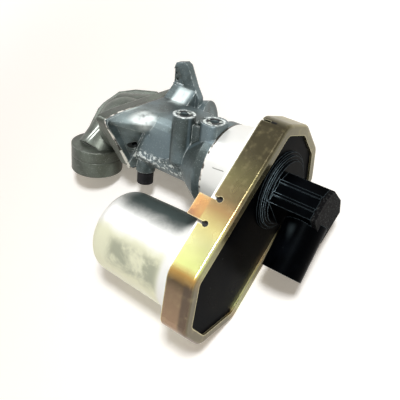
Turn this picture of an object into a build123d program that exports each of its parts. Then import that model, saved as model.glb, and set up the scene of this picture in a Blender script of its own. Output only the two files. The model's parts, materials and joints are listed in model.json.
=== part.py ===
"""EGR valve: a motor turns a cam that pushes a poppet valve, in a cast body with a bolted elbow.

Millimetres. The origin is the centre of the gas inlet port, on the seating face of the elbow's
foot. +X runs out along the valve stem through the gear cover, +Y along the gear housing towards
the valve end and +Z across it, upwards as the valve lies on its side. The casting's bolts and
walls follow a direction leaned by bolt_tilt from +Z towards +Y.
"""
from build123d import *
from math import acos, cos, pi, radians, sin, sqrt, tan
import os

# overall layout, from the centre of the inlet port
bolt_tilt = 42.0
port_across = -6.9          # inlet port from the stem axis, across the bolts
stem_rise = 32.4            # stem axis above the port's face, along the bolts

# gear cover outline inside the clamp ring, from the stem axis
half_width = 25.0
motor_end = 82.0
motor_bend = 64.0
motor_flat = 8.5
valve_end = 28.5
valve_bend = 19.0
valve_flat = 10.0

# gear housing
rim_growth = 4.2            # outer edge of the rim beyond that outline
chamber_growth = -0.7
rear_growth = 1.5
rim_depth = 12.6
housing_depth = 17.0
floor_depth = 14.0
cover_thickness = 3.0
can_radius = 24.6
can_end_radius = 22.8
can_depth = 72.5
can_wall = 2.0
can_rounding = 8.0
can_shift = 0.8             # can's axis from the motor's, towards the valve end
neck_root_radius = 27.0
neck_radius = 24.2
neck_wall = 3.5
neck_bore = 21.0
guide_radius = 12.6
guide_bore = 9.8

# clamp ring
ring_sheet = 1.2
ring_growth = 5.5
ring_fold = 2.0
crimp_depth = 13.8
notch_gap = 13.4            # between the two relief notches at the waist
notch_y = -32.0
notch_radius = 1.6
notch_slit = 0.8
tab_depth = 21.5
slit_y = 20.4

# gear train
gear_module = 0.8
pinion_teeth = 14
wheel_teeth = 56
small_teeth = 16
sector_teeth = 56           # on the full circle
sector_count = 16           # teeth the sector really has
backlash = 0.16
running_gap = 0.05
output_distance = gear_module * (small_teeth + sector_teeth) / 2
motor_distance = gear_module * (pinion_teeth + wheel_teeth) / 2
wheel_y = -output_distance
motor_y = -(output_distance + motor_distance)

# cam, valve and seat
valve_turn = 80.0
valve_lift = 7.0
sleeve_radius = 9.4
sleeve_bore = 6.6
pin_radius = 1.5
slot_radius = 1.8
driver_radius = 5.6
stem_radius = 3.0
bush_radius = 5.5
disc_radius = 11.6
seat_bore = 10.0
seat_radius = 13.0
chamber_radius = 12.0

# motor
motor_radius = 19.0
motor_front = 18.0
shaft_radius = 1.6
armature_radius = 12.0
magnet_bore = 12.8

# valve body and elbow
gasket_sheet = 1.0
body_length = 56.5
body_radius = 16.5
flange_top = 19.6
wall_across = -15.0
boss_top = 27.0
boss_thread = 2.5
tube_radius = 15.0
tube_bore = 8.5
channel_radius = 7.8        # from the valve chamber to the side tube
tube_height = -12.0         # tube axis from the stem axis, along +Z
tube_start = 7.0            # tube axis at the elbow's corner, along +Y
tube_lean = 16.6
spigot_radius = 11.3
outlet_radius = 9.0
outlet_across = 23.5
outlet_bottom = -9.5
outlet_seat = 5.0
lug_across = 21.9
lug_half = 2.1
foot_reach = 34.6           # inlet port behind the valve seat
foot_radius = 15.8
foot_top = -16.0
foot_joint = -23.0
pipe_radius = 13.2
port_radius = 9.0
foot_pcd = 25.0
foot_thread = 2.1

# connector
barrel_radius = 10.5
barrel_bore = 8.8
barrel_depth = 16.0
barrel_x = 20.5

# depths behind the split plane that follow from the sizes above
pin_depth = housing_depth + pin_radius + 0.3
neck_floor = pin_depth + valve_lift + 3.2
neck_depth = neck_floor + neck_wall
body_face = neck_depth + gasket_sheet
seat_depth = body_face + body_length
split_x = seat_depth + foot_reach
motor_back = can_depth - can_wall - 3.5
front_boss = (-body_face - 21.7, -12.7)
rear_boss = (-body_face - 5.4, -8.4)
tube_corner = (-seat_depth - 33.8, tube_start)

# directions of the casting and the centre of the stem line
bolt_y = sin(radians(bolt_tilt))
bolt_z = cos(radians(bolt_tilt))
stem_y = -(port_across * bolt_z - stem_rise * bolt_y)
stem_z = port_across * bolt_y + stem_rise * bolt_z
bolt_axis = Vector(0, bolt_y, bolt_z)
cross_axis = Vector(0, bolt_z, -bolt_y)
tube_axis = Vector(cos(radians(tube_lean)), sin(radians(tube_lean)), 0)


def at(x, y=0.0, z=0.0):
    """Row point from the split plane and the stem axis."""
    return Vector(split_x + x, stem_y + y, stem_z + z)


def leaned(x, n, b):
    """Row point from x, n across the bolts and b along them."""
    return Vector(split_x + x, stem_y, stem_z) + cross_axis * n + bolt_axis * b


def across(x, y=0.0, z=0.0):
    """Plane facing +X, its own axes +Y and +Z."""
    return Plane(origin=at(x, y, z), x_dir=(0, 1, 0), z_dir=(1, 0, 0))


def tilted(x, n=0.0, b=0.0):
    """Plane facing +X, its own axes across and along the bolts."""
    return Plane(origin=leaned(x, n, b), x_dir=cross_axis, z_dir=(1, 0, 0))


def upright(x, n, b):
    """Plane facing along the bolts, its own axes +X and across them."""
    return Plane(origin=leaned(x, n, b), x_dir=(1, 0, 0), z_dir=bolt_axis)


def side(n):
    """Plane facing against the cross direction, its own axes +X and along the bolts."""
    return Plane(origin=leaned(0, n, 0), x_dir=(1, 0, 0), z_dir=cross_axis * -1)


def outline(growth, rounding):
    """Gear cover outline grown by an amount, as a sketch."""
    with BuildSketch(Plane.XY) as drawn:
        with BuildLine():
            Polyline(
                (-motor_end, -motor_flat), (-motor_bend, -half_width), (valve_bend, -half_width),
                (valve_end, -valve_flat), (valve_end, valve_flat), (valve_bend, half_width),
                (-motor_bend, half_width), (-motor_end, motor_flat), close=True,
            )
        make_face()
        if growth:
            offset(amount=growth, kind=Kind.INTERSECTION)
        fillet(drawn.vertices(), rounding)
    return drawn.sketch


def slab(shape, front, back, y=0.0):
    """Sketch turned into a slab between two depths along X."""
    with BuildPart() as made:
        with BuildSketch(across(back, y)):
            add(shape)
        extrude(amount=front - back)
    return made.part


def turned(points, y=0.0, z=0.0):
    """Solid turned about an axis along X from (x, radius) points."""
    with BuildPart() as made:
        with BuildSketch(Plane(origin=at(0, y, z), x_dir=(1, 0, 0), z_dir=(0, 0, 1))):
            with BuildLine():
                Polyline(*points, close=True)
            make_face()
        revolve(axis=Axis(at(0, y, z), (1, 0, 0)))
    return made.part


def ring(front, back, outer, inner=0.0, y=0.0, z=0.0):
    """Round bar or tube along X."""
    return turned([(back, inner), (front, inner), (front, outer), (back, outer)], y, z)


def rod(start, end, radius):
    """Round bar between two points."""
    way = end - start
    with BuildPart() as made:
        with BuildSketch(Plane(origin=start, z_dir=way)):
            Circle(radius)
        extrude(amount=way.length)
    return made.part


def ball(centre, radius):
    with BuildPart() as made:
        with Locations(Location(centre)):
            Sphere(radius)
    return made.part


def wall(points, near, far):
    """Plate of (x, b) points between two places across the bolts, near the smaller."""
    with BuildPart() as made:
        with BuildSketch(side(near)):
            with BuildLine():
                Polyline(*points, close=True)
            make_face()
        extrude(amount=near - far)
    return made.part


def gear(teeth, first_tooth, count=0, inner=0.0, bore=0.0):
    """Toothed sketch; first_tooth is the angle of the middle of the first tooth."""
    pitch = gear_module * teeth / 2
    base = pitch * cos(radians(20))
    tip = pitch + 0.9 * gear_module
    root = pitch - 1.2 * gear_module
    half_tooth = pi / (2 * teeth) - backlash / (2 * pitch)
    half_base = half_tooth + tan(radians(20)) - radians(20)
    flanks = []
    for radius in (max(base, root), pitch, tip):
        roll = sqrt(max((radius / base) ** 2 - 1, 0))
        flanks.append((radius, half_base - (roll - acos(min(base / radius, 1)))))
    if base > root:
        flanks.insert(0, (root, flanks[0][1]))
    step = 2 * pi / teeth
    points = []
    for k in range(count or teeth):
        middle = radians(first_tooth) + k * step
        points += [(r * cos(middle - a), r * sin(middle - a)) for r, a in flanks]
        points += [(r * cos(middle + a), r * sin(middle + a)) for r, a in reversed(flanks)]
    if count:
        first = radians(first_tooth) - step / 2
        last = first + count * step
        arc = [last + (first - last) * s / 10 for s in range(11)]
        points += [(inner * cos(a), inner * sin(a)) for a in arc]
    with BuildSketch(Plane.XY) as drawn:
        with BuildLine():
            Polyline(*points, close=True)
        make_face()
        if bore:
            Circle(bore, mode=Mode.SUBTRACT)
    return drawn.sketch


os.makedirs("parts", exist_ok=True)
names = []


def hand_over(builder, name):
    builder.part.label = name
    export_step(builder.part, f"parts/{name}.step")
    names.append(name)
    solids = len(builder.part.solids())
    print(name, solids, round(builder.part.volume), builder.part.is_valid)


# ---------------------------------------------------------------- gear housing
motor_screws_at = [(-40.0, 20.0), (-40.0, -20.0)]
screw_circle = 16.8
screw_angles = [20.0, 140.0, 260.0]
screw_places = [
    (screw_circle * cos(radians(a)), screw_circle * sin(radians(a))) for a in screw_angles
]
can_y = motor_y + can_shift
slot_end = pin_depth + valve_lift + 2.0
can_slope = (can_radius - can_end_radius) / (can_depth - housing_depth)
with BuildPart() as gear_housing:
    add(slab(outline(rim_growth, 8.0), -cover_thickness, -rim_depth))
    add(slab(outline(rear_growth, 6.0), -rim_depth, -housing_depth))
    add(turned([(-rim_depth, 0), (-rim_depth, can_radius), (-housing_depth, can_radius),
                (-can_depth, can_end_radius), (-can_depth, 0)], can_y))
    can_edge = gear_housing.edges().filter_by(GeomType.CIRCLE).sort_by(Axis.X)[0]
    fillet(can_edge, can_rounding)
    add(turned([(-rim_depth, 0), (-rim_depth, neck_root_radius), (-housing_depth, neck_root_radius),
                (-neck_depth, neck_radius), (-neck_depth, 0)]))
    add(ring(-rim_depth, -22.0, 5.0, y=wheel_y))
    add(slab(outline(chamber_growth, 4.0), -cover_thickness, -floor_depth), mode=Mode.SUBTRACT)
    add(turned([(-floor_depth, 0), (-floor_depth, can_radius - can_wall),
                (-housing_depth, can_radius - can_wall),
                (-can_depth + 2 * can_wall, can_end_radius - can_wall + 2 * can_slope),
                (-can_depth + can_wall, can_end_radius - can_wall - 4),
                (-can_depth + can_wall, 0)], can_y), mode=Mode.SUBTRACT)
    add(ring(-floor_depth, -neck_floor, neck_bore), mode=Mode.SUBTRACT)
    add(turned([(-neck_floor, guide_bore), (-neck_floor, guide_radius),
                (-housing_depth - 1, guide_radius), (-housing_depth - 1, 14.0), (-13.4, 14.0),
                (-13.4, 12.0), (-housing_depth, 12.0), (-housing_depth, guide_bore)]))
    with BuildSketch(Plane(origin=at(0, 0, 20), z_dir=(0, 0, 1), x_dir=(1, 0, 0))):
        with Locations((-(housing_depth + slot_end) / 2 + 0.2, 0)):
            Rectangle(slot_end - housing_depth + 0.4, 2 * pin_radius + 0.2)
    extrude(amount=-40, mode=Mode.SUBTRACT)
    add(ring(-neck_floor, -neck_depth, 4.0), mode=Mode.SUBTRACT)
    for y, z in screw_places:
        add(ring(-neck_floor, -neck_depth, 2.1, y=y, z=z), mode=Mode.SUBTRACT)
    for y, z in motor_screws_at:
        add(ring(-floor_depth, -housing_depth, 1.5, y=y, z=z), mode=Mode.SUBTRACT)
    add(ring(-floor_depth, -20.0, 2.0, y=wheel_y), mode=Mode.SUBTRACT)
    add(slab(outline(2.6, 6.4), -cover_thickness, -4.4) - slab(outline(0.8, 4.6), -cover_thickness, -4.4),
        mode=Mode.SUBTRACT)
    with BuildSketch(Plane(origin=at(-16, slit_y, half_width + rear_growth), x_dir=(1, 0, 0))):
        Rectangle(8.0, 2 * notch_slit)
    extrude(amount=-1.0, mode=Mode.SUBTRACT)
hand_over(gear_housing, "gear_housing")

# ---------------------------------------------------------------- clamp ring
with BuildPart() as clamp_ring:
    add(slab(outline(ring_growth, 9.3), ring_sheet, -crimp_depth))
    front_edges = clamp_ring.faces().sort_by(Axis.X)[-1].edges()
    fillet(front_edges, ring_fold)
    band_inside = outline(ring_growth - ring_sheet, 8.1)
    add(slab(band_inside, 0, -rim_depth), mode=Mode.SUBTRACT)
    add(slab(outline(0, 4.0), ring_sheet, 0), mode=Mode.SUBTRACT)
    add(slab(outline(2.5, 6.3), -rim_depth, -crimp_depth), mode=Mode.SUBTRACT)
    tab_end = (-crimp_depth - tab_depth) / 2
    outer = half_width + ring_growth
    for way in (1, -1):
        with BuildSketch(Plane(origin=at(0, notch_y, way * outer), x_dir=(1, 0, 0), z_dir=(0, 0, way))):
            with Locations((tab_end, 0)):
                Rectangle(tab_depth - crimp_depth, notch_gap - 2 * notch_slit)
        extrude(amount=-ring_sheet)
        with BuildSketch(Plane(origin=at(0, notch_y, way * outer), x_dir=(1, 0, 0), z_dir=(0, 0, way))):
            with Locations((-10.0, notch_gap / 2), (-10.0, -notch_gap / 2)):
                Circle(notch_radius)
            with Locations((-12.0, notch_gap / 2), (-12.0, -notch_gap / 2)):
                Rectangle(4.0, 2 * notch_slit)
        extrude(amount=-3.2, mode=Mode.SUBTRACT)
    with BuildSketch(Plane(origin=at(-12, slit_y, half_width + ring_growth), x_dir=(1, 0, 0))):
        Rectangle(6.0, 1.2 * notch_slit)
    extrude(amount=-4.0, mode=Mode.SUBTRACT)
hand_over(clamp_ring, "clamp_ring")

# ---------------------------------------------------------------- gear cover with connector
tower = [(-11.7, 13.2), (0, 13.8), (7, 10.4), (8.8, -3.8), (5.4, -11.7), (-14, -9.7)]
tower_top = 27.0
barrel_start = at(barrel_x, -8.0, -1.5)
barrel_mouth = at(barrel_x, -37.0, -6.7)
barrel_way = (barrel_mouth - barrel_start).normalized()
socket_floor = barrel_mouth - barrel_way * barrel_depth
pin_side = barrel_way.cross(Vector(1, 0, 0))
pin_places = [
    (1.8, -3.6), (1.8, 0.0), (1.8, 3.6), (-1.8, -1.8), (-1.8, 1.8),
]
with BuildPart() as gear_cover:
    add(slab(outline(4.0, 7.8), 0, -cover_thickness))
    add(turned([(0, 0), (0, 21.0), (1.4, 21.0), (1.4, 19.4), (2.6, 19.4), (2.6, 17.6), (4, 17.0), (4, 0)]))
    with BuildSketch(across(3.0)):
        with BuildLine():
            Polyline(*tower, close=True)
        make_face()
    extrude(amount=tower_top - 3.0)
    for y in (-7.0, 0.0):
        with BuildSketch(across(3.0, y, 12.6)):
            Rectangle(1.6, 4.0)
        extrude(amount=tower_top - 3.0)
    add(rod(barrel_start, barrel_mouth, barrel_radius))
    add(rod(socket_floor, barrel_mouth, barrel_bore), mode=Mode.SUBTRACT)
    add(ring(1.6, -cover_thickness, 16.0), mode=Mode.SUBTRACT)
    add(ring(-1.2, -cover_thickness, 2.0, y=wheel_y), mode=Mode.SUBTRACT)
    for up, out in pin_places:
        foot = socket_floor + Vector(1, 0, 0) * up + pin_side * out
        add(rod(foot - barrel_way * 6.0, foot, 0.6), mode=Mode.SUBTRACT)
hand_over(gear_cover, "gear_cover")

with BuildPart() as tower_cap:
    with BuildSketch(across(tower_top)):
        with BuildLine():
            Polyline(*tower, close=True)
        make_face()
    extrude(amount=2.5)
    add(rod(barrel_start, barrel_mouth, barrel_radius), mode=Mode.SUBTRACT)
hand_over(tower_cap, "tower_cap")

with BuildPart() as cover_seal:
    add(slab(outline(2.6, 6.4), -cover_thickness, -4.4))
    add(slab(outline(0.8, 4.6), -cover_thickness, -4.4), mode=Mode.SUBTRACT)
hand_over(cover_seal, "cover_seal")

with BuildPart() as terminal_pins:
    for up, out in pin_places:
        foot = socket_floor + Vector(1, 0, 0) * up + pin_side * out
        add(rod(foot - barrel_way * 6.0, foot + barrel_way * 9.0, 0.6))
hand_over(terminal_pins, "terminal_pins")

with BuildPart() as sensor_board:
    add(ring(1.6, 0.4, 16.0))
    add(ring(0.4, -0.8, 2.6))
hand_over(sensor_board, "sensor_board")

# ---------------------------------------------------------------- motor
case_wall = 1.2
with BuildPart() as motor_case:
    add(ring(-motor_front, -motor_back, motor_radius, y=motor_y))
    add(ring(-motor_front, -motor_back + case_wall, motor_radius - case_wall, y=motor_y),
        mode=Mode.SUBTRACT)
    add(ring(-motor_back + 2, -motor_back, 4.0, y=motor_y), mode=Mode.SUBTRACT)
hand_over(motor_case, "motor_case")

with BuildPart() as motor_end_cap:
    with BuildSketch(across(-floor_depth)):
        with Locations((motor_y, 0)):
            Circle(21.6)
        with Locations(*motor_screws_at):
            Circle(4.0)
        make_hull()
    extrude(amount=floor_depth - 12.4)
    add(ring(-floor_depth, -motor_front, motor_radius, y=motor_y))
    add(ring(-motor_front, -22.0, motor_radius - case_wall, y=motor_y))
    add(ring(-12.4, -22.0, shaft_radius + running_gap, y=motor_y), mode=Mode.SUBTRACT)
    for y, z in motor_screws_at:
        add(ring(-12.4, -floor_depth, 1.5, y=y, z=z), mode=Mode.SUBTRACT)
hand_over(motor_end_cap, "motor_end_cap")

with BuildPart() as motor_screws:
    for y, z in motor_screws_at:
        add(ring(-12.4, -housing_depth, 1.5, y=y, z=z))
        add(ring(-10.6, -12.4, 2.8, y=y, z=z))
hand_over(motor_screws, "motor_screws")

with BuildPart() as motor_armature:
    add(ring(-28.0, -motor_back + 7, armature_radius, shaft_radius, motor_y))
    add(ring(-22.6, -28.0, 6.0, shaft_radius, motor_y))
    for k in range(6):
        slot = at(-28.0, motor_y) + Vector(0, cos(k * pi / 3), sin(k * pi / 3)) * armature_radius
        add(rod(slot, slot - Vector(motor_back - 35, 0, 0), 1.5), mode=Mode.SUBTRACT)
hand_over(motor_armature, "motor_armature")

with BuildPart() as motor_magnets:
    add(ring(-28.0, -motor_back + 7, motor_radius - case_wall, magnet_bore, motor_y))
    with BuildSketch(across(-motor_back + 7, motor_y)):
        Rectangle(7.0, 50.0)
    extrude(amount=motor_back - 35, mode=Mode.SUBTRACT)
hand_over(motor_magnets, "motor_magnets")

with BuildPart() as motor_shaft:
    add(ring(-3.8, -motor_back + 0.5, shaft_radius, y=motor_y))
hand_over(motor_shaft, "motor_shaft")

with BuildPart() as motor_bush:
    add(ring(-motor_back + 4.5, -motor_back, 4.0, shaft_radius + running_gap, motor_y))
hand_over(motor_bush, "motor_bush")

with BuildPart() as end_cushion:
    add(ring(-motor_back, -can_depth + can_wall, can_end_radius - can_wall - 5, 10.0, motor_y))
hand_over(end_cushion, "end_cushion")

# ---------------------------------------------------------------- gear train
with BuildPart() as motor_pinion:
    add(slab(gear(pinion_teeth, 0), -3.8, -11.8, motor_y))
    add(ring(-3.8, -11.8, shaft_radius, y=motor_y), mode=Mode.SUBTRACT)
hand_over(motor_pinion, "motor_pinion")

with BuildPart() as intermediate_gear:
    add(slab(gear(wheel_teeth, 180 + 180 / wheel_teeth), -4.0, -7.6, wheel_y))
    add(slab(gear(small_teeth, 0), -7.6, -12.0, wheel_y))
    add(ring(-12.0, -13.9, 3.5, y=wheel_y))
    add(ring(-3.2, -4.0, 3.5, y=wheel_y))
    add(ring(-3.2, -13.9, 2.0 + running_gap, y=wheel_y), mode=Mode.SUBTRACT)
hand_over(intermediate_gear, "intermediate_gear")

with BuildPart() as intermediate_axle:
    add(ring(-1.2, -20.0, 2.0, y=wheel_y))
hand_over(intermediate_axle, "intermediate_axle")

sector_start = 180 + 180 / sector_teeth + 360 / sector_teeth * (2 - sector_count)
with BuildPart() as output_gear:
    add(ring(-8.4, -neck_floor + 0.2, sleeve_radius))
    add(ring(-4.0, -8.4, 4.8))
    add(slab(gear(sector_teeth, sector_start, sector_count, 8.0), -8.4, -12.0))
    add(ring(-11.6, -neck_floor + 0.2, sleeve_bore), mode=Mode.SUBTRACT)
    for k in range(17):
        turn = radians(90 - valve_turn * k / 16)
        place = at(-pin_depth - valve_lift * k / 16)
        reach = Vector(0, cos(turn), sin(turn)) * 11
        add(rod(place - reach, place + reach, slot_radius), mode=Mode.SUBTRACT)
hand_over(output_gear, "output_gear")

with BuildPart() as sensor_magnet:
    add(ring(-2.6, -4.0, 4.0))
hand_over(sensor_magnet, "sensor_magnet")

with BuildPart() as output_bush:
    add(ring(-13.2, -housing_depth, 12.0, sleeve_radius + running_gap))
hand_over(output_bush, "output_bush")

# ---------------------------------------------------------------- return spring
spring_wire = 0.8
spring_radius = 15.2        # lets the first coil sit on the guide's collar
spring_back = -neck_floor + 3.8
spring_front = -housing_depth - 0.2
spring_turns = 4 + 1 / 6
spring_angle = radians(80)
spring_steps = 60
spring_points = []
for k in range(spring_steps + 1):
    turn = spring_angle + 2 * pi * spring_turns * k / spring_steps
    depth = spring_back + (spring_front - spring_back) * k / spring_steps
    spring_points.append(at(depth, spring_radius * cos(turn), spring_radius * sin(turn)))
first, last = spring_points[0], spring_points[-1]
spring_points.insert(0, Vector(at(-neck_floor).X, first.Y, first.Z))
spring_points.append(Vector(at(-12.05).X, last.Y, last.Z))
spring_path = Polyline(*spring_points)
with BuildPart() as return_spring:
    with BuildSketch(Plane(origin=spring_path @ 0, z_dir=spring_path % 0)):
        RegularPolygon(spring_wire, 8)
    sweep(path=spring_path, transition=Transition.RIGHT)
hand_over(return_spring, "return_spring")

# ---------------------------------------------------------------- valve
with BuildPart() as valve_stem:
    add(turned([(-pin_depth + 4, 0), (-pin_depth + 4, driver_radius),
                (-pin_depth - 3, driver_radius), (-pin_depth - 3, stem_radius),
                (-seat_depth - 5.0, stem_radius), (-seat_depth - 5.0, 0)]))
    add(rod(at(-pin_depth, 0, -8), at(-pin_depth, 0, 8), pin_radius), mode=Mode.SUBTRACT)
hand_over(valve_stem, "valve_stem")

with BuildPart() as cross_pin:
    add(rod(at(-pin_depth, 0, -12), at(-pin_depth, 0, 12), pin_radius))
hand_over(cross_pin, "cross_pin")

with BuildPart() as valve_disc:
    add(turned([(-seat_depth - 0.02, stem_radius), (-seat_depth - 0.02, disc_radius),
                (-seat_depth - 1.4, disc_radius), (-seat_depth - 3.4, 7.0),
                (-seat_depth - 4.0, 7.0), (-seat_depth - 4.0, stem_radius)]))
hand_over(valve_disc, "valve_disc")

with BuildPart() as valve_seat:
    add(ring(-seat_depth + 4, -seat_depth, seat_radius, seat_bore))
hand_over(valve_seat, "valve_seat")

with BuildPart() as stem_bush:
    add(ring(-body_face - 3, -seat_depth + 29, bush_radius, stem_radius + running_gap))
hand_over(stem_bush, "stem_bush")

with BuildPart() as stem_seal:
    add(ring(-body_face, -body_face - 3, 6.5, stem_radius + running_gap))
hand_over(stem_seal, "stem_seal")

with BuildPart() as housing_gasket:
    add(ring(-neck_depth, -body_face, neck_radius, 7.0))
    for y, z in screw_places:
        add(ring(-neck_depth, -body_face, 2.1, y=y, z=z), mode=Mode.SUBTRACT)
hand_over(housing_gasket, "housing_gasket")

with BuildPart() as housing_screws:
    for y, z in screw_places:
        add(ring(-neck_floor, -body_face - 8.5, 2.0, y=y, z=z))
        add(ring(-neck_floor + 2.8, -neck_floor, 3.3, y=y, z=z))
hand_over(housing_screws, "housing_screws")

# ---------------------------------------------------------------- valve body
flange_shape = [
    (-36.5, 18.2), (-24.4, flange_top), (36.0, flange_top), (12.0, -18.0), (-13.6, -17.6),
]
plug_place = (-seat_depth + 6.6, -8.0)
screw_seats = [(-21.5, 14.4), (30.6, 15.0)]
gasket_back = -seat_depth - gasket_sheet


def joint_flange(left=-40.0):
    """Outline shared by the casting's joint, its gasket and the elbow's flange."""
    with BuildSketch(Plane.XY) as drawn:
        with BuildLine():
            Polyline(*flange_shape, close=True)
        make_face()
        fillet(drawn.vertices(), 2.4)
        with Locations((left - 50, 0)):
            Rectangle(100, 100, mode=Mode.SUBTRACT)
    return drawn.sketch


def plate(shape, front, back):
    """Sketch in the bolt directions turned into a slab between two depths."""
    with BuildPart() as made:
        with BuildSketch(tilted(back)):
            add(shape)
        extrude(amount=front - back)
    return made.part


def flat(points):
    """Sketch of (n, b) points."""
    with BuildSketch(Plane.XY) as drawn:
        with BuildLine():
            Polyline(*points, close=True)
        make_face()
    return drawn.sketch


def pillar(x, n, low, high, radius):
    """Round bar along the bolts."""
    return rod(leaned(x, n, low), leaned(x, n, high), radius)


def tube_point(x):
    """Point of the side tube's axis at a depth behind the split plane."""
    y = tube_corner[1] + (x - tube_corner[0]) * tan(radians(tube_lean))
    return at(x, y, tube_height)


def behind(x, n, b):
    """Row point from x measured forward of the valve seat."""
    return leaned(x - seat_depth, n, b)


shoulder_x = (-6.0, -9.6, -12.6, -14.4, wall_across)
shoulder = list(zip(shoulder_x, (flange_top, 18.8, 16.6, 13.6, 10.0)))
joint_edge = [(-24.4, flange_top), (-27.4, 19.3), (-30.4, 18.9), (-33.4, 18.6), (-36.5, 18.2)]
facet_points = [behind(0.65, -15, -17.4), behind(13.5, -15, 10.3), behind(0, -35.5, 18.2)]
facet_side = (facet_points[1] - facet_points[0]).cross(facet_points[2] - facet_points[0]).normalized()
if facet_side.X < 0:
    facet_side = facet_side * -1
facet = Plane(origin=facet_points[0], x_dir=facet_points[1] - facet_points[0], z_dir=facet_side)


def front_wedge():
    """Casting between its joint and the wall below the bosses, cut to the sunk facet."""
    with BuildPart() as made:
        with BuildSketch(tilted(-seat_depth)):
            with BuildLine():
                Polyline((14, flange_top), *joint_edge, (-36.5, -17.4), (14, -17.4), close=True)
            make_face()
        with BuildSketch(tilted(-seat_depth + 16)):
            with BuildLine():
                Polyline((14, flange_top), *shoulder, (wall_across, -17.4), (14, -17.4), close=True)
            make_face()
        loft(ruled=True)
        with BuildSketch(facet):
            Rectangle(160, 160)
        extrude(amount=60, mode=Mode.SUBTRACT)
        low = [(-seat_depth - 1, -18), (-seat_depth + 18.4, -6.3), (-seat_depth + 18.4, -40), (-seat_depth - 1, -40)]
        add(wall(low, -45, 20), mode=Mode.SUBTRACT)
        spots = [facet.to_local_coords(p) for p in facet_points + [behind(0, -15.8, -17.4)]]
        with BuildSketch(facet):
            with BuildLine():
                Polyline(*[(p.X, p.Y) for p in spots], close=True)
            make_face()
            offset(amount=-1.9, kind=Kind.INTERSECTION)
        extrude(amount=-1.8, mode=Mode.SUBTRACT)
        hole = behind(5.2, -17, 0.3)
        add(rod(hole + facet_side * 3, hole - facet_side * 7, 1.65), mode=Mode.SUBTRACT)
    return made.part


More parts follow.
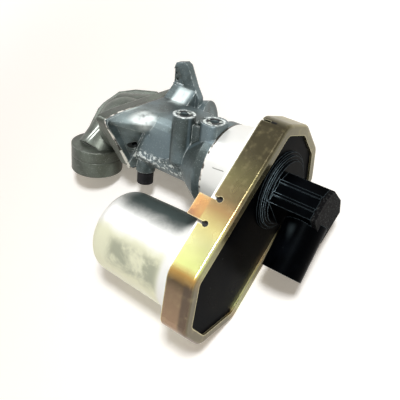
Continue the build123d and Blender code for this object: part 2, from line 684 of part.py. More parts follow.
spigot_root = at(-seat_depth + 13, 23.2, tube_height)
spigot_end = at(-seat_depth + 23.6, 26.7, tube_height)
outlet_x = -seat_depth + 12.5
web_x = (front_boss[0] + rear_boss[0]) / 2
with BuildPart() as valve_body:
    add(turned([(-body_face, 0), (-body_face, neck_radius), (-body_face - 5, neck_radius),
                (-body_face - 18.5, body_radius), (-seat_depth, body_radius), (-seat_depth, 0)]))
    add(plate(joint_flange(-6), -seat_depth + 7, -seat_depth))
    add(plate(flat([(14, 0), (14, flange_top), *shoulder, (wall_across, 0)]),
              front_boss[0], -seat_depth + 14))
    add(wall([(-seat_depth + 14, -7), (-seat_depth + 18.4, -6.3), (-seat_depth + 19.9, -3.8),
              (-seat_depth + 29.6, -0.1), (front_boss[0], -0.1), (front_boss[0], 5), (-seat_depth + 14, 5)],
             wall_across, 0))
    flat_side = [(-seat_depth, -17.4), (-seat_depth + 18.4, -6.3), (-seat_depth + 19.9, -3.8),
                 (-seat_depth + 29.6, -0.1), (front_boss[0], -0.1), (front_boss[0], 12), (-seat_depth, 12)]
    add(wall(flat_side, wall_across - 3, wall_across), mode=Mode.SUBTRACT)
    add(front_wedge())
    add(plate(joint_flange(), -seat_depth + 1.4, -seat_depth))
    add(wall([(-seat_depth + 29.6, -0.1), (front_boss[0] + 2.4, -6.9), (front_boss[0] + 5, -5.4),
              (-seat_depth + 32, 1.8)], wall_across - 0.6, -8))
    add(rod(tube_point(-seat_depth - 10), tube_point(-seat_depth + 15), tube_radius))
    add(rod(spigot_root, spigot_end, spigot_radius))
    for (x, n), radius in ((front_boss, 6.2), (rear_boss, 7.2)):
        add(pillar(x, n, 0, boss_top, radius))
    add(wall([(front_boss[0], 0), (rear_boss[0], 0), (rear_boss[0], 24), (front_boss[0], 22)], -13, -6))
    add(wall([(web_x - 3, 19), (web_x + 3, 19), (web_x + 3, 28), (web_x - 3, 28)], -11.2, -7.8),
        mode=Mode.SUBTRACT)
    add(wall([(rear_boss[0], 15), (-body_face, 15), (-body_face, 23.4), (rear_boss[0], 25)], -9.4, -7.4))
    lug = [(0, 15), (0, 36), (1.2, 39.2), (7.3, 40.8), (9.9, 39.5), (15.8, 28), (19.5, 22.6), (19.5, 15)]
    add(wall([(x - seat_depth, b) for x, b in lug], lug_across - lug_half, lug_across + lug_half))
    add(plate(flat([(12, flange_top), (lug_across - lug_half, 26), (lug_across, 14), (12, 14)]),
              -seat_depth + 17, -seat_depth))
    lug_floor = [(-1, 27.2), (-1, 34.5), (2, 36.8), (7.7, 27.6), (7.4, 27.2)]
    add(wall([(x - seat_depth, b) for x, b in lug_floor], lug_across - 4, lug_across - 1.2), mode=Mode.SUBTRACT)
    for x, b in ((1.3, 32.6), (2.1, 29.2)):
        place = behind(x, lug_across - 1.2, b)
        add(rod(place - cross_axis, place + cross_axis * 2.0, 0.8), mode=Mode.SUBTRACT)
    add(pillar(plug_place[0], plug_place[1], -18, -10, 5.6))
    add(pillar(outlet_x, outlet_across, outlet_bottom - 30, outlet_bottom, outlet_radius + 0.8),
        mode=Mode.SUBTRACT)
    add(pillar(outlet_x, outlet_across, outlet_bottom, 5, outlet_radius + 2.4))
    for x, n in (front_boss, rear_boss):
        add(pillar(x, n, boss_top - 15, boss_top, boss_thread), mode=Mode.SUBTRACT)
    add(pillar(plug_place[0], plug_place[1], -18, -13, 2.4), mode=Mode.SUBTRACT)
    add(ring(-body_face + 5, -body_face, 60), mode=Mode.SUBTRACT)
    add(ring(-seat_depth, -seat_depth - 50, 90), mode=Mode.SUBTRACT)
    add(ring(-seat_depth + 4, -seat_depth, seat_radius), mode=Mode.SUBTRACT)
    add(ring(-seat_depth + 28, -seat_depth + 4, chamber_radius), mode=Mode.SUBTRACT)
    add(ring(-body_face - 3, -seat_depth + 28, bush_radius), mode=Mode.SUBTRACT)
    add(ring(-body_face, -body_face - 3, 6.5), mode=Mode.SUBTRACT)
    add(rod(tube_point(-seat_depth + 8), tube_point(-seat_depth + 17), tube_bore), mode=Mode.SUBTRACT)
    add(rod(at(outlet_x), tube_point(outlet_x), channel_radius), mode=Mode.SUBTRACT)
    add(pillar(outlet_x, outlet_across, outlet_bottom, 5, tube_bore - 0.5), mode=Mode.SUBTRACT)
    add(pillar(outlet_x, outlet_across, outlet_bottom, outlet_bottom + outlet_seat, outlet_radius), mode=Mode.SUBTRACT)
    for y, z in screw_places:
        add(ring(-body_face, -body_face - 8.5, 2.0, y=y, z=z), mode=Mode.SUBTRACT)
    for n, b in screw_seats:
        place = behind(0, n, b)
        add(rod(place, place + Vector(5, 0, 0), 2.5), mode=Mode.SUBTRACT)
hand_over(valve_body, "valve_body")

with BuildPart() as joint_gasket:
    add(plate(joint_flange(), -seat_depth, gasket_back))
    add(ring(-seat_depth, gasket_back, seat_radius), mode=Mode.SUBTRACT)
    for n, b in screw_seats:
        add(rod(behind(0, n, b), behind(-gasket_sheet, n, b), 2.6), mode=Mode.SUBTRACT)
hand_over(joint_gasket, "joint_gasket")

# ---------------------------------------------------------------- inlet elbow
corner = at(tube_corner[0], tube_corner[1], tube_height)
port_b = -stem_rise
foot_x = -split_x
foot_start = leaned(foot_x, port_across, port_b)
foot_middle = leaned(foot_x, port_across, foot_joint)
elbow_face = gasket_back - 6
arch_shape = [
    (-48.0, -15.2), (-51.6, 5.0), (-50.6, 10.1), (-45.0, 21.0), (-34.5, 26.4), (-18.0, 30.6), (-6.0, 33.4),
    (-6.0, 20.0), (-30.0, 10.0), (-40.0, 0.0), (-42.0, -15.0),
]
with BuildPart() as inlet_elbow:
    add(plate(joint_flange(), gasket_back, elbow_face))
    add(ring(gasket_back, -seat_depth - 18, 16))
    add(ball(at(-seat_depth - 18), 16))
    add(ball(corner, pipe_radius))
    add(rod(corner, tube_point(-seat_depth + 10), tube_radius))
    add(rod(corner, foot_middle, pipe_radius))
    with BuildSketch(Plane(origin=at(-seat_depth, 0, tube_height - 4), x_dir=(1, 0, 0))):
        with BuildLine():
            Polyline(*arch_shape, close=True)
        make_face()
    extrude(amount=7.0)
    add(pillar(foot_x, port_across, foot_joint, foot_top, foot_radius))
    add(pillar(foot_x, port_across, port_b - 20, foot_joint, 60), mode=Mode.SUBTRACT)
    add(ring(gasket_back + 40, gasket_back, 90), mode=Mode.SUBTRACT)
    add(ring(gasket_back, -seat_depth - 14, seat_radius), mode=Mode.SUBTRACT)
    add(rod(at(-seat_depth - 12), corner, 9.5), mode=Mode.SUBTRACT)
    add(ball(corner, 9.8), mode=Mode.SUBTRACT)
    add(rod(corner, foot_middle, port_radius), mode=Mode.SUBTRACT)
    add(rod(foot_start, foot_middle, port_radius), mode=Mode.SUBTRACT)
    for n, b in screw_seats:
        place = leaned(elbow_face, n, b)
        add(rod(place, place + Vector(6, 0, 0), 2.6), mode=Mode.SUBTRACT)
        add(rod(place - Vector(12, 0, 0), place + Vector(3, 0, 0), 4.6), mode=Mode.SUBTRACT)
hand_over(inlet_elbow, "inlet_elbow")

with BuildPart() as inlet_foot:
    add(pillar(foot_x, port_across, port_b, foot_joint, foot_radius))
    add(rod(foot_start, foot_middle, port_radius), mode=Mode.SUBTRACT)
    for k in range(3):
        turn = radians(90 + 120 * k)
        x = foot_x + foot_pcd / 2 * cos(turn)
        n = port_across + foot_pcd / 2 * sin(turn)
        add(pillar(x, n, port_b, port_b + 9, foot_thread), mode=Mode.SUBTRACT)
hand_over(inlet_foot, "inlet_foot")

with BuildPart() as elbow_screws:
    for n, b in screw_seats:
        place = leaned(elbow_face, n, b)
        add(rod(place + Vector(3, 0, 0), behind(4.5, n, b), 2.5))
        add(rod(place - Vector(1, 0, 0), place + Vector(3, 0, 0), 4.3))
hand_over(elbow_screws, "elbow_screws")

with BuildPart() as rubber_plug:
    add(pillar(plug_place[0], plug_place[1], -26, -18, 4.8))
    add(pillar(plug_place[0], plug_place[1], -18, -13.5, 2.4))
hand_over(rubber_plug, "rubber_plug")
print(len(names), "parts")
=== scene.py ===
import json
import math
import bpy
from mathutils import Matrix, Vector


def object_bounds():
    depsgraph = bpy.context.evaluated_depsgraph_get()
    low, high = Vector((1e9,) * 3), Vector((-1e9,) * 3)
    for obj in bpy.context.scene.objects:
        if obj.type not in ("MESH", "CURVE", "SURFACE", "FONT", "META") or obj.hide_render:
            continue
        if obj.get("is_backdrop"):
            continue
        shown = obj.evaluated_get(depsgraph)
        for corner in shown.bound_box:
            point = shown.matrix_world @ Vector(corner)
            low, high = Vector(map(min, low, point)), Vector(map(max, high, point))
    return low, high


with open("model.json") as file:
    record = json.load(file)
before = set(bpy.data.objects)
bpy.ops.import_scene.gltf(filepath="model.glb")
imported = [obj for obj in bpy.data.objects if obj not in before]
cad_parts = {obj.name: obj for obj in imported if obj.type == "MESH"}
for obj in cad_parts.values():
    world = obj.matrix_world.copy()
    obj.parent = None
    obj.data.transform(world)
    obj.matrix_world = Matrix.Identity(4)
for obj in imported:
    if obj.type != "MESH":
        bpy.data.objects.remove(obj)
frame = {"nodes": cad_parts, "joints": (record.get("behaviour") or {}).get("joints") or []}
low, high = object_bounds()
nodes = frame["nodes"]
print("frame loaded:", len(nodes), "nodes")

# places are in millimetres from where the stem's axis meets the front of the cover's flange
camTurn = next(joint for joint in frame["joints"] if joint["name"] == "cam_turn")
flangeFront = 0.012  # metres ahead of the cam's pivot
datum = Vector(camTurn["pos_m"]) + Vector((flangeFront, 0, 0))
boltTilt = math.radians(42)  # lean of the body's bolts and towers about the stem's axis


def paint(red, green, blue):  # screen colour, 0 to 255, as shader colour
    return tuple(((c / 255 + 0.055) / 1.055) ** 2.4 if c > 10 else c / 3295 for c in (red, green, blue))


def operator(operation, swapped=False):
    def apply(wire, other):
        first, second = (other, wire) if swapped else (wire, other)
        return wire.graph.reckon(operation, first, second)
    return apply


class Wire:  # a socket that sums and products can be written with
    def __init__(self, graph, socket):
        self.graph = graph
        self.socket = socket

    def of(self, output):
        return Wire(self.graph, self.socket.node.outputs[output])

    __add__, __radd__ = operator("ADD"), operator("ADD", True)
    __sub__, __rsub__ = operator("SUBTRACT"), operator("SUBTRACT", True)
    __mul__, __rmul__ = operator("MULTIPLY"), operator("MULTIPLY", True)
    __truediv__, __rtruediv__ = operator("DIVIDE"), operator("DIVIDE", True)
    __pow__, __rpow__ = operator("POWER"), operator("POWER", True)


class Graph:
    def __init__(self, tree):
        self.tree = tree

    def node(self, kind, settings=None, inputs=None):
        made = self.tree.nodes.new(kind)
        for key, value in (settings or {}).items():
            if key == "stops":
                ramp = made.color_ramp
                while len(ramp.elements) < len(value):
                    ramp.elements.new(0.5)
                for element, (place, colour) in zip(ramp.elements, value):
                    element.position = place
                    element.color = (*colour, 1)
            else:
                setattr(made, key, value)
        for key, value in (inputs or {}).items():
            self.join(value, made.inputs[key])
        return Wire(self, made.outputs[0])

    def join(self, value, socket):
        if isinstance(value, Wire):
            self.tree.links.new(value.socket, socket)
        elif isinstance(value, (tuple, list)) and socket.type == "RGBA" and len(value) == 3:
            socket.default_value = (*value, 1)
        else:
            socket.default_value = value

    def surface(self, values):  # sockets of the material's own shader
        shader = self.tree.nodes["Principled BSDF"]
        for key, value in values.items():
            self.join(value, shader.inputs[key])

    def reckon(self, operation, first, second=0.0):
        return self.node("ShaderNodeMath", {"operation": operation}, {0: first, 1: second})

    def vector(self, operation, inputs):
        return self.node("ShaderNodeVectorMath", {"operation": operation}, inputs)

    def place(self):
        return self.node("ShaderNodeTexCoord").of("Object")

    def axes(self):  # x along the stem, y to the side, z up, then across and along the body's bolts
        moved = self.vector("SUBTRACT", {0: self.place(), 1: datum})
        grown = self.vector("SCALE", {0: moved, "Scale": 1000.0})
        parts = self.node("ShaderNodeSeparateXYZ", None, {0: grown})
        x, y, z = (parts.of(index) for index in range(3))
        across = y * math.cos(boltTilt) - z * math.sin(boltTilt)
        along = y * math.sin(boltTilt) + z * math.cos(boltTilt)
        return {"x": x, "y": y, "z": z, "across": across, "along": along}

    def noise(self, scale, detail, rough=0.55, bend=0.0):
        return self.node("ShaderNodeTexNoise", None, {
            "Vector": self.place(), "Scale": scale, "Detail": detail, "Roughness": rough, "Distortion": bend,
        })

    def stretch(self, value, bottom, top, newBottom=0.0, newTop=1.0, kind="SMOOTHSTEP"):
        return self.node("ShaderNodeMapRange", {"interpolation_type": kind}, {
            "Value": value, "From Min": bottom, "From Max": top, "To Min": newBottom, "To Max": newTop,
        })

    def speckle(self, scale, detail, bottom, top):  # noise drawn out into spots
        return self.stretch(self.noise(scale, detail), bottom, top)

    def ramp(self, value, stops):
        return self.node("ShaderNodeValToRGB", {"stops": stops}, {0: value})

    def near(self, value, middle, full, none):  # 1 within full of the middle, 0 beyond none
        return self.stretch(self.reckon("ABSOLUTE", value - middle), full, none, 1.0, 0.0)

    def away(self, first, second, middle):  # distance of two coordinates from a point
        return ((first - middle[0]) ** 2.0 + (second - middle[1]) ** 2.0) ** 0.5

    def bands(self, at, where):  # two numbers fade in from the first to the second, three stay near a middle
        mask = None
        for name, band in where.items():
            part = self.near(at[name], *band) if len(band) == 3 else self.stretch(at[name], *band)
            mask = part if mask is None else mask * part
        return mask

    def lay(self, colour, at, where, strength, tint):  # a patch of paint where its bands meet
        return self.mix(self.bands(at, where) * strength, colour, tint)

    def mix(self, factor, first, second):
        return self.node("ShaderNodeMix", {"data_type": "RGBA"}, {0: factor, 6: first, 7: second}).of(2)

    def rounded(self, radius):
        return self.node("ShaderNodeBevel", {"samples": 6}, {"Radius": radius})

    def edges(self, radius, flat=0.99, sharp=0.82):  # 1 on sharp edges, 0 on the faces between them
        face = self.node("ShaderNodeNewGeometry").of("Normal")
        same = self.vector("DOT_PRODUCT", {0: self.rounded(radius), 1: face}).of("Value")
        return self.stretch(same, flat, sharp)

    def gloss(self, cloud, smooth, coarse, bottom=0.3, top=0.7):  # roughness that follows the cloud
        return self.stretch(cloud, bottom, top, smooth, coarse)

    def bump(self, height, strength, distance, softEdge=0.0):
        inputs = {"Height": height, "Strength": strength, "Distance": distance}
        if softEdge:
            inputs["Normal"] = self.rounded(softEdge)
        return self.node("ShaderNodeBump", None, inputs)

    def seenRays(self):  # 1 for the camera, a reflection or a view through a clear piece, 0 for light
        path = self.node("ShaderNodeLightPath")
        seen = self.reckon("MAXIMUM", path.of("Is Camera Ray"), path.of("Is Glossy Ray"))
        return self.reckon("MAXIMUM", seen, path.of("Is Transmission Ray"))


def newMaterial(name):
    made = bpy.data.materials.new(name)
    made.use_nodes = True
    return made, Graph(made.node_tree)


def dress(material, *names):
    for name in names:
        mesh = nodes[name].data
        mesh.materials.clear()
        mesh.materials.append(material)


# clouds and grains are a noise's scale, detail, roughness and bend, and spots end with their fade;
# a bump is its strength, then its depth and softened edge in metres

# valve body: blue-grey die casting, worn bright on its edges, boss tops and the flash of its joint; painted
# highlights on its crest, shoulder, lug ramp and the flange beside the joint, painted shade in its small
# hole and boss threads, with painted glints on the threads
brightMetal = paint(232, 240, 238)
bodyCast = {
    "cloud": (60.0, 4.0, 0.6, 0.3), "cloudFade": (0.38, 0.66),
    "dark": paint(70, 80, 79), "middle": paint(104, 118, 121), "paleMetal": brightMetal,
    "metal": 0.55, "gloss": (0.34, 0.48), "grain": (1100.0, 3.0), "bump": (0.35, 0.0002, 0.0016),
    "flatWall": {"where": {"across": (-15.0, 0.4, 1.2), "x": (-87.0, -78.0)},
                 "strength": 0.8, "tint": paint(108, 124, 130)},
    # painted highlight along the top of the body
    "crestHighlight": {"where": {"z": (15.0, 22.0), "y": (-1.0, 6.0, 14.0), "x": (-58.0, -82.0), "cloud": (0.3, 0.5)},
              "strength": 0.45, "tint": paint(178, 194, 194)},
    # painted highlight on the shoulder's top
    "shoulderHighlight": {"where": {"x": (-79.5, 2.0, 6.5), "y": (-1.0, 2.5, 7.0), "z": (17.0, 22.0),
                           "cloud": (0.28, 0.46)},
                 "strength": 1.0, "tint": brightMetal},
    "fleck": (1500.0, 2.0, 0.60, 0.72), "fleckShare": 0.18,
    "rough": (170.0, 3.0, 0.42, 0.66), "roughHeight": 0.6,
    "flash": {"along": (1.0, -6.0), "across": (-15.0, 1.0, 5.0)}, "flashShare": 1.2,
    "edge": 0.0007, "edgeWear": (420.0, 3.0, 0.40, 0.60), "edgeStrength": 0.75,
    "bosses": ((-55.2, -12.7), (-38.9, -8.4)), "bossTop": (27.0, 0.1, 0.3),  # x and across, then along
    "sink": (4.3, 3.9), "rim": (5.3, 0.5, 1.0), "rimWear": (700.0, 2.0, 0.36, 0.56),  # radii
    # painted shade inside the boss holes, with painted glints on their threads
    "glint": (330.0, 2.0, 0.56, 0.62), "threadShadeAndGlint": paint(16, 20, 20), "threadLit": paint(196, 206, 200),
    "hole": (-86.0, -0.7),  # x and along
    # painted shade in and around the small hole
    "holeShade": {"where": {"hole": (2.3, 1.8), "across": (-10.0, -12.0)},
                 "strength": 1.0, "tint": paint(8, 14, 16)},
    # painted highlight on the lug's ramp
    "lugRampHighlight": {"where": {"x": (-80.0, 3.0, 6.0), "y": (25.5, 4.0, 8.0), "z": (6.5, 1.5, 4.0),
                          "cloud": (0.3, 0.5)},
                "strength": 0.85, "tint": paint(214, 226, 224)},
    # painted highlight on the flange face beside the joint
    "flangeLipHighlight": {"where": {"x": (-88.2, -88.6), "across": (-16.5, 3.5, 6.0), "along": (10.0, 14.0)},
                  "strength": 0.8, "tint": paint(200, 214, 211)},
    "crumb": (460.0, 3.0),
    "crumbs": {"where": {"along": (-6.0, 2.5, 4.5), "across": (-15.0, 1.5, 4.0), "x": (-88.0, -85.0),
                         "crumb": (0.5, 0.58)},
               "strength": 0.85, "tint": brightMetal},
    "seam": {"where": {"x": (-88.7, -88.9), "along": (12.0, 8.0), "across": (-3.0, -6.0)}, "strength": 1.0},
    "dash": (230.0, 1.0, 0.46, 0.54), "dashDark": paint(40, 40, 34), "dashPale": paint(238, 238, 230),
}


def bodyCasting(cast):
    material, graph = newMaterial("bodyCasting")
    at = graph.axes()
    at["cloud"] = graph.noise(*cast["cloud"])
    colour = graph.mix(graph.stretch(at["cloud"], *cast["cloudFade"]), cast["dark"], cast["middle"])
    for name in ("flatWall", "crestHighlight", "shoulderHighlight"):
        colour = graph.lay(colour, at, **cast[name])
    rough = graph.speckle(*cast["rough"])
    flash = graph.bands(at, cast["flash"])
    share = cast["fleckShare"] + rough * flash * cast["flashShare"]
    colour = graph.mix(graph.speckle(*cast["fleck"]) * share, colour, cast["paleMetal"])
    wear = graph.edges(cast["edge"]) * graph.speckle(*cast["edgeWear"])
    colour = graph.mix(wear * cast["edgeStrength"], colour, cast["paleMetal"])
    top = graph.near(at["along"], *cast["bossTop"])
    threadShadeAndGlint = graph.mix(graph.speckle(*cast["glint"]), cast["threadShadeAndGlint"], cast["threadLit"])
    for centre in cast["bosses"]:  # machined top, worn bright on the rim, with painted shade and painted glints in the countersunk thread
        radius = graph.away(at["x"], at["across"], centre)
        colour = graph.mix(graph.stretch(radius, *cast["sink"]) * top, colour, threadShadeAndGlint)
        rim = graph.near(radius, *cast["rim"]) * top
        colour = graph.mix(rim * graph.speckle(*cast["rimWear"]), colour, cast["paleMetal"])
    at["hole"] = graph.away(at["x"], at["along"], cast["hole"])
    at["crumb"] = graph.noise(*cast["crumb"])
    for name in ("holeShade", "lugRampHighlight", "flangeLipHighlight", "crumbs"):
        colour = graph.lay(colour, at, **cast[name])
    dashes = graph.mix(graph.speckle(*cast["dash"]), cast["dashDark"], cast["dashPale"])
    graph.surface({
        "Base Color": graph.lay(colour, at, tint=dashes, **cast["seam"]),
        "Metallic": cast["metal"],
        "Roughness": graph.gloss(at["cloud"], *cast["gloss"]),
        "Normal": graph.bump(graph.noise(*cast["grain"]) + rough * cast["roughHeight"], *cast["bump"]),
    })
    return material


# inlet elbow and its foot: a more olive casting with two painted highlight lines across the bend
elbowCast = {
    "cloud": (55.0, 4.0, 0.6, 0.4), "cloudFade": (0.36, 0.68),
    "dark": paint(76, 80, 72), "middle": paint(106, 114, 104), "paleMetal": paint(226, 230, 222),
    "metal": 0.5, "gloss": (0.36, 0.5), "grain": (1000.0, 3.0), "bump": (0.35, 0.0002, 0.0016),
    "fleck": (1500.0, 2.0, 0.62, 0.72), "fleckShare": 0.2,
    "bow": 0.004, "lean": 0.10, "leanFrom": 4.0, "highlightLines": ((-123.4, 0.3, 0.7), (-121.2, 0.25, 0.6)),
    "lineReach": {"y": (-6.0, 10.0, 14.0), "z": (0.0, 3.0, 6.0)},
    "lineFade": (0.25, 0.45), "lineStrength": 0.85,
    "edge": 0.0008, "edgeWear": (300.0, 3.0, 0.36, 0.60),
    "edgeAbove": (-19.0, -14.0), "edgeStrength": 0.6,  # along the bolts
}


def elbowCasting(cast):
    material, graph = newMaterial("elbowCasting")
    at = graph.axes()
    cloud = graph.noise(*cast["cloud"])
    colour = graph.mix(graph.stretch(cloud, *cast["cloudFade"]), cast["dark"], cast["middle"])
    colour = graph.mix(graph.speckle(*cast["fleck"]) * cast["fleckShare"], colour, cast["paleMetal"])
    bowed = at["x"] + at["y"] * at["y"] * cast["bow"] - (at["y"] + cast["leanFrom"]) * cast["lean"]
    # painted highlights on two lines across the bend, in the pale metal tone
    first, second = (graph.near(bowed, *line) for line in cast["highlightLines"])
    highlightLines = (first + second) * graph.bands(at, cast["lineReach"]) * graph.stretch(cloud, *cast["lineFade"])
    colour = graph.mix(highlightLines * cast["lineStrength"], colour, cast["paleMetal"])
    wear = graph.edges(cast["edge"]) * graph.speckle(*cast["edgeWear"])
    wear = wear * graph.stretch(at["along"], *cast["edgeAbove"])
    graph.surface({
        "Base Color": graph.mix(wear * cast["edgeStrength"], colour, cast["paleMetal"]),
        "Metallic": cast["metal"],
        "Roughness": graph.gloss(cloud, *cast["gloss"]),
        "Normal": graph.bump(graph.noise(*cast["grain"]), *cast["bump"]),
    })
    return material


dress(bodyCasting(bodyCast), "valve_body")
dress(elbowCasting(elbowCast), "inlet_elbow", "inlet_foot")
print("castings painted")

# gear housing and motor can: bright satin alloy, with a painted dark, bluer reflection on the can's upper
# side and painted shade in the ring's notches and slit
gapShade = paint(12, 11, 9)
alloy = {
    "cloud": (75.0, 4.0, 0.6, 0.4), "bright": paint(246, 247, 244),
    "metal": 0.35, "gloss": (0.30, 0.42), "grain": (900.0, 2.0), "bump": (0.12, 0.0001),
    "can": {"y": (-30.0, -34.0), "x": (-20.5, -25.0)},
    "canMiddle": -56.0, "canRadius": 24.6, "canWander": 0.35,
    # painted dark reflection on the can's upper side
    "shade": {"where": {"angle": (0.18, 0.62), "z": (-6.0, 4.0), "x": (-74.0, -60.0)},
              "strength": 1.0, "tint": paint(72, 83, 81)},
    "cream": {"where": {"angle": (0.0, -0.3)}, "strength": 1.0, "tint": paint(236, 237, 208)},
    # grey-green mottled patch across the can's lower middle
    "greyPatch": {"where": {"angle": (-0.55, 0.14, 0.34), "x": (-40.0, 13.0, 22.0), "cloud": (0.32, 0.6)},
               "strength": 0.85, "tint": paint(160, 164, 144)},
    "partingWander": 2.0,
    "parting": {"where": {"wander": (-10.3, 0.12, 0.35), "x": (-23.5, 3.2, 4.2), "z": (0.0, 2.0)},
                "strength": 0.8, "tint": paint(110, 112, 106)},
    # painted shade on the housing where the ring's notches and slit open over it
    "notches": ((-10.6, -25.9), (-10.8, -38.9)),  # x and y
    "notchFade": (2.7, 2.2), "notchAbove": (27.0, 28.5), "notchShade": gapShade,
    "slitShade": {"where": {"y": (20.9, 0.8, 1.3), "x": (-13.6, -12.6), "z": (24.0, 26.0)},
             "strength": 1.0, "tint": gapShade},
}


def housingAlloy(cast):
    material, graph = newMaterial("housingAlloy")
    at = graph.axes()
    at["cloud"] = graph.noise(*cast["cloud"])
    stir = at["cloud"] - 0.5
    at["angle"] = (at["y"] - cast["canMiddle"]) / cast["canRadius"] + stir * cast["canWander"]
    at["wander"] = at["y"] + stir * cast["partingWander"]
    can = graph.bands(at, cast["can"])
    colour = cast["bright"]
    for name in ("shade", "cream", "greyPatch"):
        patch = cast[name]
        colour = graph.mix(can * graph.bands(at, patch["where"]) * patch["strength"], colour, patch["tint"])
    colour = graph.lay(colour, at, **cast["parting"])
    above = graph.stretch(at["z"], *cast["notchAbove"])
    for centre in cast["notches"]:  # painted shade in the ring's notch beside its tab
        radius = graph.away(at["x"], at["y"], centre)
        colour = graph.mix(graph.stretch(radius, *cast["notchFade"]) * above, colour, cast["notchShade"])
    graph.surface({
        "Base Color": graph.lay(colour, at, **cast["slitShade"]),
        "Metallic": cast["metal"],
        "Roughness": graph.gloss(at["cloud"], *cast["gloss"]),
        "Normal": graph.bump(graph.noise(*cast["grain"]), *cast["bump"]),
    })
    return material


dress(housingAlloy(alloy), "gear_housing")
print("gear housing painted")

# clamp ring: yellow zinc plating that turns from olive to orange, yellow and brown from side to side, with
# painted shade in its slit and painted highlights on its edges
plating = {
    "wave": (45.0, 3.0, 0.5, 0.6), "drift": 7.0, "span": (-90.0, 36.0),
    "metal": 0.75, "gloss": (0.22, 0.34), "grain": (600.0, 2.0), "bump": (0.06, 0.0001),
    "hues": (
        (0.02, paint(158, 130, 104)), (0.13, paint(134, 112, 88)), (0.165, paint(96, 80, 58)),
        (0.20, paint(190, 150, 82)), (0.235, paint(214, 220, 140)), (0.33, paint(200, 198, 140)),
        (0.40, paint(194, 182, 120)), (0.47, paint(160, 128, 84)), (0.53, paint(108, 94, 64)),
        (0.62, paint(98, 92, 60)), (0.72, paint(70, 64, 44)), (0.88, paint(66, 60, 42)),
        (0.97, paint(150, 142, 104)),
    ),
    "tab": {"where": {"x": (-13.6, -14.4), "y": (-32.0, 6.0, 7.0)}, "strength": 0.85},
    "tabSlope": 0.02, "tabSpan": (-0.2, 0.35),
    "tabHues": (
        (0.0, paint(112, 88, 84)), (0.35, paint(152, 98, 68)), (0.7, paint(178, 134, 82)),
        (1.0, paint(152, 142, 112)),
    ),
    "fold": {"where": {"x": (-4.6, -2.6), "y": (-66.0, -70.0)}, "strength": 0.75, "tint": paint(84, 72, 62)},
    # painted shade inside the ring's slit
    "slitShade": {"where": {"y": (20.6, 0.5, 0.8), "x": (-10.0, 4.0, 5.0), "z": (24.0, 26.0)},
             "strength": 1.0, "tint": paint(14, 12, 10)},
    "front": {"where": {"x": (0.6, 1.1)}, "strength": 0.75, "tint": paint(104, 100, 78)},
    "streak": (260.0, 2.0, 0.5, 0.75), "streakShare": 0.08, "streakTint": paint(230, 214, 160),
    "edge": 0.0012, "edgeFade": (-90.0, -20.0, 0.8, 0.35), "edgeHighlight": paint(246, 238, 190),
}


def zincPlating(cast):
    material, graph = newMaterial("zincPlating")
    at = graph.axes()
    wave = graph.noise(*cast["wave"])
    drift = at["y"] + (wave - 0.5) * cast["drift"]
    colour = graph.ramp(graph.stretch(drift, *cast["span"], kind="LINEAR"), cast["hues"])
    rainbow = graph.ramp(graph.stretch(wave + at["x"] * cast["tabSlope"], *cast["tabSpan"]), cast["tabHues"])
    colour = graph.lay(colour, at, tint=rainbow, **cast["tab"])
    for name in ("fold", "slitShade", "front"):
        colour = graph.lay(colour, at, **cast[name])
    colour = graph.mix(graph.speckle(*cast["streak"]) * cast["streakShare"], colour, cast["streakTint"])
    # painted cream highlights along the ring's edges, stronger towards negative y
    lit = graph.edges(cast["edge"]) * graph.stretch(at["y"], *cast["edgeFade"])
    graph.surface({
        "Base Color": graph.mix(lit, colour, cast["edgeHighlight"]),
        "Metallic": cast["metal"],
        "Roughness": graph.gloss(wave, *cast["gloss"]),
        "Normal": graph.bump(graph.noise(*cast["grain"]), *cast["bump"]),
    })
    return material


dress(zincPlating(plating), "clamp_ring")
print("clamp ring painted")

# gear cover and connector: black moulded plastic with a faint blue sheen, painted bluish highlights on its
# edges and dome steps and a painted highlight stripe on the barrel
moulding = {
    "cloud": (48.0, 4.0, 0.6, 0.3), "cloudFade": (0.42, 0.7),
    "black": (0.0002, 0.0002, 0.0004), "dusty": (0.0015, 0.002, 0.003),
    "gloss": (0.26, 0.40), "ior": 1.07, "sheen": (0.75, 0.92, 1.0),
    "grain": (1300.0, 2.0), "bump": (0.12, 0.0001),
    "speck": (420.0, 2.0, 0.74, 0.80), "speckShare": 0.3, "speckTint": paint(120, 128, 132),
    "edge": 0.0005, "edgeHighlight": paint(150, 172, 182), "edgeShare": 0.22, "domeShare": 0.78,
    "dome": {"radius": (21.0, 20.0), "side": (-6.0, -22.0), "x": (9.5, 7.5)},
    # painted highlight stripe along the connector barrel
    "barrelHighlight": {"where": {"x": (17.0, 1.0, 4.5), "y": (-14.0, -19.0), "z": (6.0, 10.0), "cloud": (0.2, 0.5)},
               "strength": 1.0, "tint": paint(92, 106, 112)},
}


def coverPlastic(cast):
    material, graph = newMaterial("coverPlastic")
    at = graph.axes()
    at["cloud"] = graph.noise(*cast["cloud"])
    at["radius"] = graph.away(at["y"], at["z"], (0.0, 0.0))
    at["side"] = at["y"] - at["z"]
    colour = graph.mix(graph.stretch(at["cloud"], *cast["cloudFade"]), cast["black"], cast["dusty"])
    colour = graph.mix(graph.speckle(*cast["speck"]) * cast["speckShare"], colour, cast["speckTint"])
    # painted bluish highlights on the edges, strongest on the dome's steps
    share = cast["edgeShare"] + graph.bands(at, cast["dome"]) * cast["domeShare"]
    colour = graph.mix(graph.edges(cast["edge"]) * share, colour, cast["edgeHighlight"])
    graph.surface({
        "Base Color": graph.lay(colour, at, **cast["barrelHighlight"]),
        "Roughness": graph.gloss(at["cloud"], *cast["gloss"]),
        "IOR": cast["ior"],
        "Specular Tint": cast["sheen"],
        "Normal": graph.bump(graph.noise(*cast["grain"]), *cast["bump"]),
    })
    return material


dress(coverPlastic(moulding), "gear_cover")
print("gear cover painted")

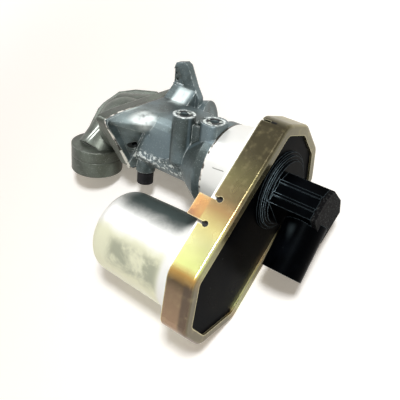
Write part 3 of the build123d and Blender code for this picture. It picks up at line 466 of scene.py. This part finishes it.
# cap, rubber and gaskets: two tones in spots
speckled = {
    "capPlastic": {
        "tones": ((0.004, 0.004, 0.0045), paint(56, 58, 58)), "speckle": (900.0, 2.0, 0.5, 0.75),
        "grain": (1200.0, 3.0), "bump": (0.6, 0.0003),
        "shader": {"Roughness": 0.6, "IOR": 1.1},
        "pieces": ("tower_cap",),
    },
    "rubber": {
        "tones": ((0.004, 0.004, 0.005), (0.02, 0.019, 0.022)), "speckle": (500.0, 3.0, 0.5, 0.8),
        "grain": (1600.0, 2.0), "bump": (0.25, 0.0001),
        "shader": {"Roughness": 0.62, "Specular IOR Level": 0.25},
        "pieces": ("rubber_plug", "cover_seal", "stem_seal", "end_cushion"),
    },
    "gasketSteel": {
        "tones": (paint(84, 80, 72), paint(250, 246, 238)), "speckle": (240.0, 1.0, 0.44, 0.56),
        "reach": {"y": (4.0, -2.0)},  # the near side only
        "grain": (800.0, 2.0), "bump": (0.2, 0.0001),
        "shader": {"Metallic": 0.6, "Roughness": 0.34},
        "pieces": ("joint_gasket", "housing_gasket"),
    },
}
for name, cast in speckled.items():
    material, graph = newMaterial(name)
    share = graph.speckle(*cast["speckle"])
    if "reach" in cast:
        share = share * graph.bands(graph.axes(), cast["reach"])
    graph.surface({
        "Base Color": graph.mix(share, *cast["tones"]),
        "Normal": graph.bump(graph.noise(*cast["grain"]), *cast["bump"]),
        **cast["shader"],
    })
    dress(material, *cast["pieces"])
print("cap, rubber and gaskets painted")

# inner pieces, each with its two tones, metal, roughness, scale of grain and pieces
inner = {
    "steel": ((0.42, 0.42, 0.41), (0.56, 0.56, 0.55), 0.9, 0.30, 500.0,
              ("elbow_screws", "housing_screws", "motor_screws", "motor_shaft", "intermediate_axle")),
    "motorCaseSteel": ((0.50, 0.50, 0.49), (0.66, 0.66, 0.64), 0.9, 0.28, 260.0, ("motor_case",)),
    "stainless": ((0.36, 0.34, 0.31), (0.54, 0.52, 0.49), 0.9, 0.32, 420.0,
                  ("valve_stem", "cross_pin", "valve_disc", "valve_seat")),
    "springSteel": ((0.10, 0.10, 0.11), (0.28, 0.28, 0.30), 0.85, 0.35, 700.0, ("return_spring",)),
    "bronze": ((0.42, 0.27, 0.12), (0.60, 0.43, 0.22), 0.9, 0.38, 800.0,
               ("motor_bush", "motor_pinion", "output_bush", "stem_bush")),
    "armature": ((0.30, 0.16, 0.09), (0.46, 0.42, 0.38), 0.8, 0.42, 300.0, ("motor_armature",)),
    "magnet": ((0.05, 0.05, 0.055), (0.12, 0.12, 0.13), 0.1, 0.55, 900.0,
               ("motor_magnets", "sensor_magnet")),
    "motorPlastic": ((0.03, 0.03, 0.03), (0.08, 0.08, 0.08), 0.0, 0.5, 900.0, ("motor_end_cap",)),
    "gearPlastic": ((0.58, 0.54, 0.44), (0.72, 0.68, 0.58), 0.0, 0.42, 600.0,
                    ("intermediate_gear", "output_gear")),
    "circuitBoard": ((0.02, 0.12, 0.05), (0.05, 0.22, 0.10), 0.0, 0.4, 350.0, ("sensor_board",)),
    "contacts": ((0.62, 0.56, 0.40), (0.80, 0.76, 0.62), 0.9, 0.25, 700.0, ("terminal_pins",)),
}
finish = {  # shared by all inner pieces
    "cloudScale": 0.25, "cloudDetail": 4.0, "cloudFade": (0.35, 0.68), "glossSpread": (-0.05, 0.07),
    "grainScale": 3, "grainDetail": 2.0, "bump": (0.15, 0.0001),
}
for name, (dark, pale, metal, roughness, scale, pieces) in inner.items():
    material, graph = newMaterial(name)
    cloud = graph.speckle(scale * finish["cloudScale"], finish["cloudDetail"], *finish["cloudFade"])
    grain = graph.noise(scale * finish["grainScale"], finish["grainDetail"])
    smooth, coarse = (roughness + spread for spread in finish["glossSpread"])
    graph.surface({
        "Base Color": graph.mix(cloud, dark, pale),
        "Metallic": metal,
        "Roughness": graph.gloss(cloud, smooth, coarse, 0.0, 1.0),
        "Normal": graph.bump(grain, *finish["bump"]),
    })
    dress(material, *pieces)
print("inner pieces painted")

# floor and world: white where camera, glossy and transmission rays meet them, with the shadow kept
stage = {
    "size": 6.0, "centre": (0.05, 0.0), "below": 0.0002, "floor": (0.98, 0.98, 0.98),
    "glow": (0.20, 0.18, 0.15), "farGlow": (0.73, 0.76, 0.80), "lampsFade": (0.12, 0.5),
    "ambient": (1.0, 0.90, 0.77), "level": 0.27,
}
bpy.ops.mesh.primitive_plane_add(size=stage["size"], location=(*stage["centre"], low[2] - stage["below"]))
floor = bpy.context.object
floor.name = "floor"
floor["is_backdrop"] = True
material, graph = newMaterial("floor")
graph.surface({"Base Color": stage["floor"], "Roughness": 1.0, "Specular IOR Level": 0.0})
floor.data.materials.append(material)
spread = graph.vector("LENGTH", {0: graph.place()}).of("Value")
tint = graph.mix(graph.stretch(spread, *stage["lampsFade"]), stage["glow"], stage["farGlow"])
seenTint = graph.mix(graph.seenRays(), (0, 0, 0), tint)
glow = graph.node("ShaderNodeEmission", None, {"Color": seenTint, "Strength": 1.0})
matt = Wire(graph, graph.tree.nodes["Principled BSDF"].outputs[0])
both = graph.node("ShaderNodeAddShader", None, {0: matt, 1: glow})
graph.join(both, graph.tree.nodes["Material Output"].inputs["Surface"])

world = bpy.context.scene.world or bpy.data.worlds.new("world")
bpy.context.scene.world = world
world.use_nodes = True
sky = Graph(world.node_tree)
background = sky.tree.nodes["Background"]
seen = sky.seenRays()
sky.join(sky.mix(seen, stage["ambient"], (1, 1, 1)), background.inputs["Color"])
sky.join(seen * (1 - stage["level"]) + stage["level"], background.inputs["Strength"])
print("floor and world made")

# lamps: the window lights gloss only
lamps = {
    "window": {"way": (-0.65, 0.19, 0.73), "size": 0.2, "power": 2.2, "colour": (0.94, 0.97, 1.0),
               "diffuse": False},
    "main": {"way": (0.34, 0.12, 0.93), "size": 0.12, "power": 5.1, "colour": (1, 1, 1), "diffuse": True},
    "side": {"way": (0.1, -0.85, 0.5), "size": 0.4, "power": 0.25, "colour": (1, 1, 1), "diffuse": True},
}
lampDistance = 0.8  # metres
middle = datum + Vector((-0.045, -0.025, 0.0))  # of the whole part
for name, settings in lamps.items():
    light = bpy.data.lights.new(name, "AREA")
    light.size = settings["size"]
    light.energy = settings["power"]
    light.color = settings["colour"]
    lamp = bpy.data.objects.new(name, light)
    lamp.location = middle + Vector(settings["way"]).normalized() * lampDistance
    lamp.rotation_euler = (middle - lamp.location).to_track_quat("-Z", "Y").to_euler()
    lamp.visible_diffuse = settings["diffuse"]
    bpy.context.collection.objects.link(lamp)
print("lamps hung:", len(lamps))

view = {
    "lens": 54.1, "sensor": 36, "clip": 0.01, "place": (0.24517, -0.05805, 0.29115),
    "right": (0.78655, 0.51778, -0.33652), "up": (-0.37403, 0.83307, 0.40756),
    "back": (0.49137, -0.19470, 0.84891),
}
camera = bpy.data.cameras.new("camera")
camera.lens = view["lens"]
camera.sensor_width = view["sensor"]
camera.clip_start = view["clip"]
eye = bpy.data.objects.new("camera", camera)
turn = Matrix((view["right"], view["up"], view["back"])).transposed()
eye.matrix_world = Matrix.Translation(view["place"]) @ turn.to_4x4()
bpy.context.collection.objects.link(eye)
bpy.context.scene.camera = eye
bpy.context.scene.view_settings.view_transform = "Standard"
print("camera placed")

low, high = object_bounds()
